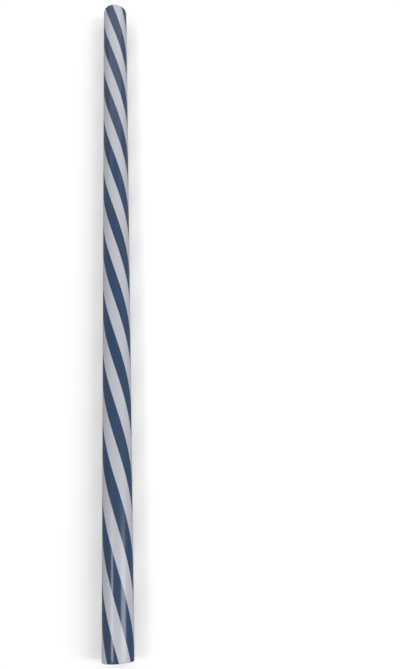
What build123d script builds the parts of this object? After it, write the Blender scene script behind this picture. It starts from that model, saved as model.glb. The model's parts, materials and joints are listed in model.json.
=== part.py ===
from build123d import *
import os

# Reusable drinking straw: a straight, stiff plastic tube with four coloured
# stripes that wind round it, left-handed, from one end to the other.
# It lies on its side along Y, with the origin under its middle.

# Driving dimensions, in millimetres
straw_length = 235.0
outer_diameter = 9.0
wall = 1.0
rim_round = 0.25

# The stripes are coloured plastic laid into the outer skin of the white wall.
# The share is that of the way round, and the lead is the length of one full turn.
stripe_count = 4
stripe_share = 0.49
stripe_depth = 0.3
stripe_lead = 92.2

# Where the first stripe starts at the near end, in degrees from +X down towards the table
stripe_start = 56.5

# How far a cutting shape runs past the surface that it cuts
overrun = 0.5

outer_radius = outer_diameter / 2
inner_radius = outer_radius - wall
groove_radius = outer_radius - stripe_depth

# One stripe and the white rib beside it share this part of the way round
repeat_angle = 360 / stripe_count
stripe_angle = repeat_angle * stripe_share

# Planes of the near cut end, whose normal runs along the tube towards +Y,
# and of the wall's section, which stands upright on the middle of the tube
near_end = Plane(origin=(0, -straw_length / 2, outer_radius), x_dir=(1, 0, 0), z_dir=(0, 1, 0))
wall_section = Plane(origin=(0, 0, outer_radius), x_dir=(1, 0, 0), z_dir=(0, 0, 1))
tube_axis = Axis(near_end.origin, near_end.z_dir)

os.makedirs("parts", exist_ok=True)


def ring_sector(inside_radius, outside_radius, start, angle):
    """Flat piece of a ring, from a start angle on through an angle."""
    with BuildSketch() as sector:
        with BuildLine():
            inside = CenterArc((0, 0), inside_radius, start, angle)
            outside = CenterArc((0, 0), outside_radius, start, angle)
            Line(inside @ 0, outside @ 0)
            Line(inside @ 1, outside @ 1)
        make_face()
    return sector.sketch


# The middle of the tube, and the line that its stripes wind along
with BuildLine() as middle:
    Line(near_end.origin, near_end.offset(straw_length).origin)
with BuildLine() as winding:
    Helix(stripe_lead, straw_length, outer_radius, near_end.origin, near_end.z_dir, lefthand=True)

# The wall before its grooves are cut, with the rim of both ends rounded inside and out
with BuildPart() as plain_wall:
    with BuildSketch(wall_section):
        with Locations((inner_radius + wall / 2, 0)):
            RectangleRounded(wall, straw_length, rim_round)
    revolve(axis=tube_axis)

# The outer skin of that wall, as deep as the stripes go
with BuildPart() as skin:
    add(plain_wall.part)
    with BuildSketch(near_end):
        Circle(groove_radius)
    extrude(amount=straw_length, mode=Mode.SUBTRACT)

# Coloured strips: each is what a winding bar takes out of the skin
stripes = []
for number in range(stripe_count):
    with BuildPart() as stripe:
        with BuildSketch(near_end):
            start = stripe_start + number * repeat_angle
            add(ring_sector(groove_radius - overrun, outer_radius + overrun, start, stripe_angle))
        sweep(path=middle.edge(), binormal=winding.edge())
        add(skin.part, mode=Mode.INTERSECT)
    stripe.part.label = f"stripe_{number + 1}"
    export_step(stripe.part, f"parts/{stripe.part.label}.step")
    stripes.append(stripe.part)

# White tube: the wall, with a winding groove where each strip lies flush in it
with BuildPart() as tube:
    add(plain_wall.part)
    add(stripes, mode=Mode.SUBTRACT)
tube.part.label = "tube"
export_step(tube.part, "parts/tube.step")
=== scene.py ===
import json
import math

import bmesh
import bpy
from bpy.props import (
    FloatProperty,
    FloatVectorProperty,
    IntProperty,
    PointerProperty,
)
from mathutils import Matrix, Vector


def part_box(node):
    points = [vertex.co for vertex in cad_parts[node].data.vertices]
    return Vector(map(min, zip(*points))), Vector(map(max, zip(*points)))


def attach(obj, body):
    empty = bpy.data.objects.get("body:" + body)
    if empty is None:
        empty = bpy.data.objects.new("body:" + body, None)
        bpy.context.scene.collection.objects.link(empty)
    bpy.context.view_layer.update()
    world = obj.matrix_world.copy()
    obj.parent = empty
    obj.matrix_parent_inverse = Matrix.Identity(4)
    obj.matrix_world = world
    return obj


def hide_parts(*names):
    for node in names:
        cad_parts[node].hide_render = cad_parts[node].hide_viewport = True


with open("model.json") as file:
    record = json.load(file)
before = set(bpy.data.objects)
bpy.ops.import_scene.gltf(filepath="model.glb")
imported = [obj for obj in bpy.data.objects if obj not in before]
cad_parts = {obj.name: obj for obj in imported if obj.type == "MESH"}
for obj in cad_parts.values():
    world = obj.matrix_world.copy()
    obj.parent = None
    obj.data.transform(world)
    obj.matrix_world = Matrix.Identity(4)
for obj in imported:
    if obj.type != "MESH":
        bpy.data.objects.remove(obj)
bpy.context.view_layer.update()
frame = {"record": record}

bl_info = {
    "name": "Striped Drinking Straw",
    "version": (1, 0, 0),
    "blender": (4, 5, 0),
    "location": "View3D > Sidebar > Straw",
    "description": "A reusable plastic drinking straw with coloured stripes that wind round it",
    "category": "Add Mesh",
}

# The straw lies along Y, on the floor. Its sizes come from the frame, in metres.
MM = 0.001
TUBE_LOW, TUBE_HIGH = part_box("tube")
BORE = next(mount for mount in frame["record"]["mounts"] if mount["name"] == "bore")
ALONG = Vector((0, 1, 0))
ACROSS = Vector((1, 0, 0))

BLACK = (0, 0, 0, 1)
WHITE = (1, 1, 1, 1)

# The colour sockets of a mix node, which share their names with its other sockets
MIX_A = 6
MIX_B = 7
MIX_RESULT = 2

# Points closer than this are one point, and an edge sharper than this angle stays sharp
WELD_DISTANCE = 0.002 * MM
SHARP_ANGLE = math.radians(35)


class StrawSizes(bpy.types.PropertyGroup):
    """Sizes of the straw and its stripes."""

    straw_length: FloatProperty(
        name="Length", description="Length of the straw from one cut end to the other",
        default=TUBE_HIGH.y - TUBE_LOW.y, unit="LENGTH",
    )
    outer_diameter: FloatProperty(
        name="Outer Diameter", description="Diameter of the round outside",
        default=TUBE_HIGH.z - TUBE_LOW.z, unit="LENGTH",
    )
    bore_diameter: FloatProperty(
        name="Bore Diameter", description="Diameter of the hole that the drink passes through",
        default=2 * BORE["dims"]["r_mm"] * MM, unit="LENGTH",
    )
    rim_round: FloatProperty(
        name="Rim Rounding", description="Radius of the rounding of both cut ends, inside and out",
        default=0.25 * MM, unit="LENGTH",
    )
    stripe_count: IntProperty(
        name="Stripes", description="Number of coloured stripes round the straw",
        default=4, min=1,
    )
    stripe_share: FloatProperty(
        name="Coloured Share", description="Share of the way round that is coloured",
        default=0.49, min=0, max=1, subtype="FACTOR",
    )
    stripe_depth: FloatProperty(
        name="Stripe Depth", description="How deep the coloured plastic lies in the white wall",
        default=0.3 * MM, unit="LENGTH",
    )
    stripe_lead: FloatProperty(
        name="Stripe Lead", description="Length along the straw in which a stripe winds once round it",
        default=92.2 * MM, unit="LENGTH",
    )
    stripe_start: FloatProperty(
        name="Stripe Start", description="Where the first stripe starts at the near end, from +X downwards",
        default=math.radians(56.5), subtype="ANGLE", unit="ROTATION",
    )
    rib_steps: IntProperty(
        name="Rib Steps", description="Faces across one white rib",
        default=18, min=1,
    )
    stripe_steps: IntProperty(
        name="Stripe Steps", description="Faces across one coloured stripe",
        default=16, min=1,
    )
    length_steps: IntProperty(
        name="Length Steps", description="Faces along the straw",
        default=200, min=1,
    )
    rim_steps: IntProperty(
        name="Rim Steps", description="Faces round the rounding of a rim",
        default=5, min=1,
    )


class StrawColours(bpy.types.PropertyGroup):
    """Colours and gloss of the two plastics."""

    wall_colour: FloatVectorProperty(
        name="Wall", description="Colour of the white plastic",
        default=(0.565, 0.576, 0.627, 1), size=4, min=0, max=1, subtype="COLOR",
    )
    wall_shade: FloatVectorProperty(
        name="Wall Shade", description="Tone that the white plastic drifts towards in faint lines",
        default=(0.507, 0.522, 0.578, 1), size=4, min=0, max=1, subtype="COLOR",
    )
    stripe_colour: FloatVectorProperty(
        name="Stripes", description="Colour of the navy plastic",
        default=(0.023, 0.055, 0.126, 1), size=4, min=0, max=1, subtype="COLOR",
    )
    stripe_shade: FloatVectorProperty(
        name="Stripe Shade", description="Tone that the navy plastic drifts towards in faint lines",
        default=(0.033, 0.071, 0.148, 1), size=4, min=0, max=1, subtype="COLOR",
    )
    wall_roughness: FloatProperty(
        name="Wall Roughness", description="Roughness of the white plastic where it was drawn",
        default=0.30, min=0, max=1, subtype="FACTOR",
    )
    stripe_roughness: FloatProperty(
        name="Stripe Roughness", description="Roughness of the navy plastic where it was drawn",
        default=0.18, min=0, max=1, subtype="FACTOR",
    )
    cut_roughness: FloatProperty(
        name="Cut Roughness", description="Roughness of the cut ends",
        default=0.55, min=0, max=1, subtype="FACTOR",
    )


class StudioSettings(bpy.types.PropertyGroup):
    """Floor, light and camera of the studio."""

    floor_size: FloatProperty(
        name="Floor Size", description="Side of the square floor",
        default=8, unit="LENGTH",
    )
    floor_colour: FloatVectorProperty(
        name="Floor", description="Colour of the floor as the camera sees it",
        default=(0.98, 0.98, 0.98, 1), size=4, min=0, max=1, subtype="COLOR",
    )
    floor_bounce: FloatVectorProperty(
        name="Floor Bounce", description="Colour of the light that the floor throws back",
        default=(0.42, 0.42, 0.43, 1), size=4, min=0, max=1, subtype="COLOR",
    )
    floor_glow: FloatVectorProperty(
        name="Floor Glow", description="What is added to the floor as the camera sees it, to make it white",
        default=(0.17, 0.17, 0.17, 1), size=4, min=0, max=1, subtype="COLOR",
    )
    fade_start: FloatProperty(
        name="Fade Start", description="Distance from the straw's middle at which the floor starts to fade",
        default=0.25, unit="LENGTH",
    )
    fade_end: FloatProperty(
        name="Fade End", description="Distance from the straw's middle at which the floor is all white",
        default=0.7, unit="LENGTH",
    )
    room_dim: FloatProperty(
        name="Room Left", description="Strength of the soft light all round, on its left side",
        default=0.47, min=0,
    )
    room_bright: FloatProperty(
        name="Room Right", description="Strength of the soft light all round, on its right side",
        default=0.56, min=0,
    )
    window_radiance: FloatProperty(
        name="Window Brightness", description="Brightness of the broad soft light on the right",
        default=6.5, min=0,
    )
    strip_radiance: FloatProperty(
        name="Strip Brightness", description="Brightness of the narrow soft light on the left",
        default=8.0, min=0,
    )
    wall_radiance: FloatProperty(
        name="Wall Brightness", description="Brightness of the large soft light behind the far end",
        default=0.8, min=0,
    )
    lens: FloatProperty(
        name="Lens", description="Focal length of the camera, in millimetres",
        default=33.36, min=1,
    )
    camera_place: FloatVectorProperty(
        name="Camera Place", description="Where the camera stands",
        default=(23.928 * MM, -92.031 * MM, 196.403 * MM), size=3, subtype="TRANSLATION", unit="LENGTH",
    )
    camera_turn: FloatVectorProperty(
        name="Camera Turn", description="Rotation of the camera about X, Y and Z",
        default=(math.radians(19.945), 0, math.radians(-2.874)), size=3, subtype="EULER", unit="ROTATION",
    )


# Meshes


def turn_point(sizes, distance, angle):
    """Point of the near cut end, at a distance from the middle and an angle from +X downwards."""
    middle = Vector((0, -sizes.straw_length / 2, sizes.outer_diameter / 2))
    return middle + Matrix.Rotation(angle, 3, ALONG) @ (ACROSS * distance)


def spin_sector(bm, sizes, distances, start, angle, steps):
    """Flat sector of the near cut end: an edge through the given distances, spun through an angle."""
    points = [bm.verts.new(turn_point(sizes, distance, start)) for distance in distances]
    edges = [bm.edges.new(pair) for pair in zip(points, points[1:])]
    bmesh.ops.spin(
        bm, geom=points + edges, cent=turn_point(sizes, 0, 0), axis=ALONG, angle=angle, steps=steps,
    )


def wind_section(bm, sizes):
    """Draw the flat section in the bmesh along the whole straw, turning it left-handed with the stripes."""
    bmesh.ops.remove_doubles(bm, verts=bm.verts, dist=WELD_DISTANCE)
    bmesh.ops.spin(
        bm, geom=bm.verts[:] + bm.edges[:] + bm.faces[:], cent=turn_point(sizes, 0, 0), axis=ALONG,
        dvec=ALONG * sizes.straw_length / sizes.length_steps,
        angle=-math.tau * sizes.straw_length / sizes.stripe_lead, steps=sizes.length_steps,
    )
    bmesh.ops.recalc_face_normals(bm, faces=bm.faces)


def round_rims(bm, sizes, radii):
    """Round the edges of both cut ends that lie at the given distances from the middle."""

    def on_rim(point):
        at_end = abs(abs(point.co.y) - sizes.straw_length / 2) < WELD_DISTANCE
        distance = math.hypot(point.co.x, point.co.z - sizes.outer_diameter / 2)
        return at_end and any(abs(distance - radius) < WELD_DISTANCE for radius in radii)

    rim = [edge for edge in bm.edges if edge.is_manifold and all(on_rim(point) for point in edge.verts)]
    rim = [edge for edge in rim if edge.calc_face_angle() > SHARP_ANGLE]
    bmesh.ops.bevel(
        bm, geom=rim, offset=sizes.rim_round, offset_type="OFFSET", affect="EDGES",
        segments=sizes.rim_steps, profile=0.5, material=-1, loop_slide=True, clamp_overlap=True,
    )


def add_piece(bm, name, material, node):
    """Make the bmesh a finished piece, which stands for a node of the plain model."""
    bmesh.ops.remove_doubles(bm, verts=bm.verts, dist=WELD_DISTANCE)
    bmesh.ops.recalc_face_normals(bm, faces=bm.faces)
    mesh = bpy.data.meshes.new(name)
    bm.to_mesh(mesh)
    bm.free()
    mesh.shade_smooth()
    mesh.set_sharp_from_angle(angle=SHARP_ANGLE)
    mesh.materials.append(material)
    piece = bpy.data.objects.new(name, mesh)
    bpy.context.scene.collection.objects.link(piece)
    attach(piece, "root")
    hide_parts(node)
    return piece


# Materials


def add_node(tree, kind, values=None, **settings):
    """Add a shader node, with its settings and the values of its sockets, by name or number."""
    node = tree.nodes.new(kind)
    for name, value in settings.items():
        setattr(node, name, value)
    for name, value in (values or {}).items():
        node.inputs[name].default_value = value
    return node


def stretched_noise(tree, place, stretch, scale, detail):
    """Noise on the wound-back coordinates, stretched along the straw."""
    mapping = add_node(tree, "ShaderNodeMapping", {"Scale": (1, 1 / stretch, 1)})
    noise = add_node(tree, "ShaderNodeTexNoise", {"Scale": scale, "Detail": detail, "Roughness": 0.55})
    tree.links.new(place, mapping.inputs["Vector"])
    tree.links.new(mapping.outputs["Vector"], noise.inputs["Vector"])
    return noise.outputs["Fac"]


def drawn_plastic_group(sizes):
    """Shader node group: plastic with faint lines that wind with the stripes, and duller cut ends."""
    group = bpy.data.node_groups.new("drawn_plastic", "ShaderNodeTree")
    for name, kind in (
        ("Colour", "NodeSocketColor"),
        ("Shade", "NodeSocketColor"),
        ("Shade Amount", "NodeSocketFloat"),
        ("Roughness", "NodeSocketFloat"),
        ("Cut Roughness", "NodeSocketFloat"),
        ("Line Height", "NodeSocketFloat"),
    ):
        group.interface.new_socket(name, in_out="INPUT", socket_type=kind)
    for name, kind in (
        ("Colour", "NodeSocketColor"),
        ("Roughness", "NodeSocketFloat"),
        ("Normal", "NodeSocketVector"),
    ):
        group.interface.new_socket(name, in_out="OUTPUT", socket_type=kind)
    link = group.links.new
    given = add_node(group, "NodeGroupInput")
    result = add_node(group, "NodeGroupOutput")

    # The pattern is centred on the middle of the tube, and wound back by its twist
    place = add_node(group, "ShaderNodeTexCoord")
    centre = add_node(group, "ShaderNodeMapping", {"Location": (0, 0, -sizes.outer_diameter / 2)})
    apart = add_node(group, "ShaderNodeSeparateXYZ")
    twist = add_node(group, "ShaderNodeMath", {1: math.tau / sizes.stripe_lead}, operation="MULTIPLY")
    unwind = add_node(group, "ShaderNodeVectorRotate", rotation_type="Y_AXIS")
    link(place.outputs["Object"], centre.inputs["Vector"])
    link(centre.outputs["Vector"], apart.inputs["Vector"])
    link(apart.outputs["Y"], twist.inputs[0])
    link(centre.outputs["Vector"], unwind.inputs["Vector"])
    link(twist.outputs["Value"], unwind.inputs["Angle"])
    wound = unwind.outputs["Vector"]

    # Faint lines of tone: broad ones, and fine ones from the die
    broad = stretched_noise(group, wound, stretch=9, scale=420, detail=2)
    fine = stretched_noise(group, wound, stretch=45, scale=3200, detail=3)
    tone = add_node(group, "ShaderNodeMix", {"Factor": 0.25}, data_type="FLOAT")
    contrast = add_node(group, "ShaderNodeMapRange", {"From Min": 0.36, "From Max": 0.66})
    amount = add_node(group, "ShaderNodeMath", operation="MULTIPLY")
    colour = add_node(group, "ShaderNodeMix", data_type="RGBA")
    link(broad, tone.inputs["A"])
    link(fine, tone.inputs["B"])
    link(tone.outputs["Result"], contrast.inputs["Value"])
    link(contrast.outputs["Result"], amount.inputs[0])
    link(given.outputs["Shade Amount"], amount.inputs[1])
    link(amount.outputs["Value"], colour.inputs["Factor"])
    link(given.outputs["Colour"], colour.inputs[MIX_A])
    link(given.outputs["Shade"], colour.inputs[MIX_B])
    link(colour.outputs[MIX_RESULT], result.inputs["Colour"])

    # The cut ends are duller than the drawn surface, which is a little duller along the fine lines
    distance = add_node(group, "ShaderNodeMath", operation="ABSOLUTE")
    cut = add_node(
        group, "ShaderNodeMapRange",
        {"From Min": sizes.straw_length / 2 - sizes.rim_round, "From Max": sizes.straw_length / 2},
        interpolation_type="SMOOTHSTEP",
    )
    dull = add_node(
        group, "ShaderNodeMapRange", {"From Min": 0.3, "From Max": 0.7, "To Min": 0.95, "To Max": 1.12},
    )
    drawn = add_node(group, "ShaderNodeMath", operation="MULTIPLY")
    gloss = add_node(group, "ShaderNodeMix", data_type="FLOAT")
    link(apart.outputs["Y"], distance.inputs[0])
    link(distance.outputs["Value"], cut.inputs["Value"])
    link(fine, dull.inputs["Value"])
    link(dull.outputs["Result"], drawn.inputs[0])
    link(given.outputs["Roughness"], drawn.inputs[1])
    link(cut.outputs["Result"], gloss.inputs["Factor"])
    link(drawn.outputs["Value"], gloss.inputs["A"])
    link(given.outputs["Cut Roughness"], gloss.inputs["B"])
    link(gloss.outputs["Result"], result.inputs["Roughness"])

    # The lines stand very slightly proud, over a soft unevenness of the skin
    ripple = stretched_noise(group, wound, stretch=6, scale=260, detail=1)
    height = add_node(group, "ShaderNodeMix", {"Factor": 0.05}, data_type="FLOAT")
    bump = add_node(group, "ShaderNodeBump", {"Strength": 1.0})
    link(ripple, height.inputs["A"])
    link(fine, height.inputs["B"])
    link(height.outputs["Result"], bump.inputs["Height"])
    link(given.outputs["Line Height"], bump.inputs["Distance"])
    link(bump.outputs["Normal"], result.inputs["Normal"])
    return group


def plastic_material(name, colour, shade, roughness):
    """Glossy opaque plastic, drawn through a die."""
    colours = bpy.context.scene.straw_colours
    group = bpy.data.node_groups.get("drawn_plastic") or drawn_plastic_group(bpy.context.scene.straw_sizes)
    material = bpy.data.materials.new(name)
    material.use_nodes = True
    tree = material.node_tree
    shader = tree.nodes["Principled BSDF"]
    shader.inputs["IOR"].default_value = 1.49
    drawn = add_node(
        tree, "ShaderNodeGroup",
        {"Colour": colour, "Shade": shade, "Shade Amount": 0.6, "Roughness": roughness,
         "Cut Roughness": colours.cut_roughness, "Line Height": 0.012 * MM},
        node_tree=group,
    )
    tree.links.new(drawn.outputs["Colour"], shader.inputs["Base Color"])
    tree.links.new(drawn.outputs["Roughness"], shader.inputs["Roughness"])
    tree.links.new(drawn.outputs["Normal"], shader.inputs["Normal"])
    return material


def wall_material():
    """White plastic of the tube."""
    colours = bpy.context.scene.straw_colours
    return plastic_material("white_plastic", colours.wall_colour, colours.wall_shade, colours.wall_roughness)


def stripe_material():
    """Navy plastic of the stripes."""
    colours = bpy.context.scene.straw_colours
    return plastic_material(
        "navy_plastic", colours.stripe_colour, colours.stripe_shade, colours.stripe_roughness,
    )


# Stage


def floor_material(studio):
    """Pale floor, which fades to white away from the straw and throws back less light than is seen."""
    material = bpy.data.materials.new("studio_floor")
    material.use_nodes = True
    tree = material.node_tree
    shader = tree.nodes["Principled BSDF"]
    shader.inputs["Roughness"].default_value = 0.9
    shader.inputs["Specular IOR Level"].default_value = 0
    shader.inputs["Emission Strength"].default_value = 1
    place = add_node(tree, "ShaderNodeTexCoord")
    distance = add_node(tree, "ShaderNodeVectorMath", operation="LENGTH")
    fade = add_node(
        tree, "ShaderNodeMapRange", {"From Min": studio.fade_start, "From Max": studio.fade_end},
        interpolation_type="SMOOTHSTEP",
    )
    path = add_node(tree, "ShaderNodeLightPath")
    tree.links.new(place.outputs["Object"], distance.inputs[0])
    tree.links.new(distance.outputs["Value"], fade.inputs["Value"])
    for socket, unseen, near, far in (
        ("Base Color", studio.floor_bounce, studio.floor_colour, BLACK),
        ("Emission Color", BLACK, studio.floor_glow, WHITE),
    ):
        seen = add_node(tree, "ShaderNodeMix", {MIX_A: near, MIX_B: far}, data_type="RGBA")
        colour = add_node(tree, "ShaderNodeMix", {MIX_A: unseen}, data_type="RGBA")
        tree.links.new(fade.outputs["Result"], seen.inputs["Factor"])
        tree.links.new(seen.outputs[MIX_RESULT], colour.inputs[MIX_B])
        tree.links.new(path.outputs["Is Camera Ray"], colour.inputs["Factor"])
        tree.links.new(colour.outputs[MIX_RESULT], shader.inputs[socket])
    return material


def add_floor(studio):
    """Square floor at the height that the straw rests on."""
    bm = bmesh.new()
    bmesh.ops.create_grid(bm, x_segments=1, y_segments=1, size=studio.floor_size / 2)
    mesh = bpy.data.meshes.new("studio_floor")
    bm.to_mesh(mesh)
    bm.free()
    mesh.materials.append(floor_material(studio))
    floor = bpy.data.objects.new("studio_floor", mesh)
    bpy.context.scene.collection.objects.link(floor)


def add_soft_light(name, aim, direction, distance, width, length, radiance):
    """Soft rectangular lamp that lights a point from a direction. Its length runs along the straw."""
    data = bpy.data.lights.new(name, "AREA")
    data.shape = "RECTANGLE"
    data.size = width
    data.size_y = length
    data.energy = radiance * math.pi * width * length
    lamp = bpy.data.objects.new(name, data)
    towards = Vector(direction).normalized()
    sideways = ALONG.cross(towards).normalized()
    upwards = towards.cross(sideways)
    turn = Matrix((sideways, upwards, towards)).transposed().to_4x4()
    lamp.matrix_world = Matrix.Translation(Vector(aim) + towards * distance) @ turn
    bpy.context.scene.collection.objects.link(lamp)


def add_world(studio):
    """Soft light from all sides, brighter on the right, which the camera sees as white."""
    world = bpy.data.worlds.new("studio")
    world.use_nodes = True
    tree = world.node_tree
    background = tree.nodes["Background"]
    background.inputs["Color"].default_value = WHITE
    direction = add_node(tree, "ShaderNodeTexCoord")
    apart = add_node(tree, "ShaderNodeSeparateXYZ")
    room = add_node(
        tree, "ShaderNodeMapRange",
        {"From Min": -1, "From Max": 1, "To Min": studio.room_dim, "To Max": studio.room_bright},
    )
    path = add_node(tree, "ShaderNodeLightPath")
    strength = add_node(tree, "ShaderNodeMix", {"B": 1}, data_type="FLOAT")
    tree.links.new(direction.outputs["Generated"], apart.inputs["Vector"])
    tree.links.new(apart.outputs["X"], room.inputs["Value"])
    tree.links.new(room.outputs["Result"], strength.inputs["A"])
    tree.links.new(path.outputs["Is Camera Ray"], strength.inputs["Factor"])
    tree.links.new(strength.outputs["Result"], background.inputs["Strength"])
    bpy.context.scene.world = world


def add_camera(studio):
    """Camera at the photograph's place and angle."""
    data = bpy.data.cameras.new("camera")
    data.lens = studio.lens
    data.clip_start = 0.01
    camera = bpy.data.objects.new("camera", data)
    camera.location = studio.camera_place
    camera.rotation_euler = studio.camera_turn
    bpy.context.scene.collection.objects.link(camera)
    bpy.context.scene.camera = camera


# Operators


class STRAW_OT_add_tube(bpy.types.Operator):
    """Add the white tube, with its bore, its rounded rims and a winding groove for each stripe"""

    bl_idname = "straw.add_tube"
    bl_label = "Add Tube"

    def execute(self, context):
        sizes = context.scene.straw_sizes
        outer_radius = sizes.outer_diameter / 2
        bore_radius = sizes.bore_diameter / 2
        groove_radius = outer_radius - sizes.stripe_depth
        repeat_angle = math.tau / sizes.stripe_count
        stripe_angle = repeat_angle * sizes.stripe_share
        bm = bmesh.new()
        for number in range(sizes.stripe_count):
            start = sizes.stripe_start + number * repeat_angle
            spin_sector(bm, sizes, (bore_radius, groove_radius), start, stripe_angle, sizes.stripe_steps)
            spin_sector(
                bm, sizes, (bore_radius, groove_radius, outer_radius), start + stripe_angle,
                repeat_angle - stripe_angle, sizes.rib_steps,
            )
        wind_section(bm, sizes)
        round_rims(bm, sizes, (bore_radius, outer_radius))
        add_piece(bm, "straw_wall", wall_material(), "tube")
        return {"FINISHED"}


class STRAW_OT_add_stripes(bpy.types.Operator):
    """Add the coloured stripes, each a strip that fills its groove and lies flush with the wall"""

    bl_idname = "straw.add_stripes"
    bl_label = "Add Stripes"

    def execute(self, context):
        sizes = context.scene.straw_sizes
        outer_radius = sizes.outer_diameter / 2
        groove_radius = outer_radius - sizes.stripe_depth
        repeat_angle = math.tau / sizes.stripe_count
        material = stripe_material()
        for number in range(sizes.stripe_count):
            bm = bmesh.new()
            spin_sector(
                bm, sizes, (groove_radius, outer_radius), sizes.stripe_start + number * repeat_angle,
                repeat_angle * sizes.stripe_share, sizes.stripe_steps,
            )
            wind_section(bm, sizes)
            round_rims(bm, sizes, (outer_radius,))
            add_piece(bm, f"straw_stripe_{number + 1}", material, f"stripe_{number + 1}")
        return {"FINISHED"}


class STRAW_OT_add_studio(bpy.types.Operator):
    """Add the floor, the soft light and the camera"""

    bl_idname = "straw.add_studio"
    bl_label = "Add Studio"

    def execute(self, context):
        studio = context.scene.straw_studio
        sizes = context.scene.straw_sizes
        near_end = (0, -sizes.straw_length / 2, sizes.outer_diameter / 2)
        far_end = (0, sizes.straw_length / 2, sizes.outer_diameter / 2)
        add_floor(studio)
        add_world(studio)
        add_soft_light(
            "window_light", aim=near_end, direction=(0.735, -0.08, 0.67), distance=1.0,
            width=0.62, length=0.26, radiance=studio.window_radiance,
        )
        add_soft_light(
            "strip_light", aim=near_end, direction=(-0.565, -0.08, 0.82), distance=1.0,
            width=0.24, length=0.25, radiance=studio.strip_radiance,
        )
        add_soft_light(
            "wall_light", aim=far_end, direction=(0.06, 0.76, 0.65), distance=0.4,
            width=0.76, length=0.26, radiance=studio.wall_radiance,
        )
        add_camera(studio)
        context.scene.view_settings.view_transform = "Standard"
        return {"FINISHED"}


class STRAW_PT_panel(bpy.types.Panel):
    """Sizes, colours and steps of the straw"""

    bl_idname = "STRAW_PT_panel"
    bl_label = "Drinking Straw"
    bl_space_type = "VIEW_3D"
    bl_region_type = "UI"
    bl_category = "Straw"

    def draw(self, context):
        layout = self.layout
        for settings, operators in (
            (context.scene.straw_sizes, (STRAW_OT_add_tube, STRAW_OT_add_stripes)),
            (context.scene.straw_colours, ()),
            (context.scene.straw_studio, (STRAW_OT_add_studio,)),
        ):
            box = layout.box()
            for name in settings.__annotations__:
                box.prop(settings, name)
            for operator in operators:
                box.operator(operator.bl_idname)


CLASSES = (
    StrawSizes,
    StrawColours,
    StudioSettings,
    STRAW_OT_add_tube,
    STRAW_OT_add_stripes,
    STRAW_OT_add_studio,
    STRAW_PT_panel,
)


def register():
    """Register the classes, and give the scene their settings."""
    for cls in CLASSES:
        bpy.utils.register_class(cls)
    bpy.types.Scene.straw_sizes = PointerProperty(type=StrawSizes)
    bpy.types.Scene.straw_colours = PointerProperty(type=StrawColours)
    bpy.types.Scene.straw_studio = PointerProperty(type=StudioSettings)


def unregister():
    """Take the settings and the classes away again."""
    del bpy.types.Scene.straw_studio
    del bpy.types.Scene.straw_colours
    del bpy.types.Scene.straw_sizes
    for cls in reversed(CLASSES):
        bpy.utils.unregister_class(cls)


def main():
    """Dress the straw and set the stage."""
    register()
    bpy.ops.straw.add_tube()
    bpy.ops.straw.add_stripes()
    bpy.ops.straw.add_studio()


if __name__ == "__main__":
    main()
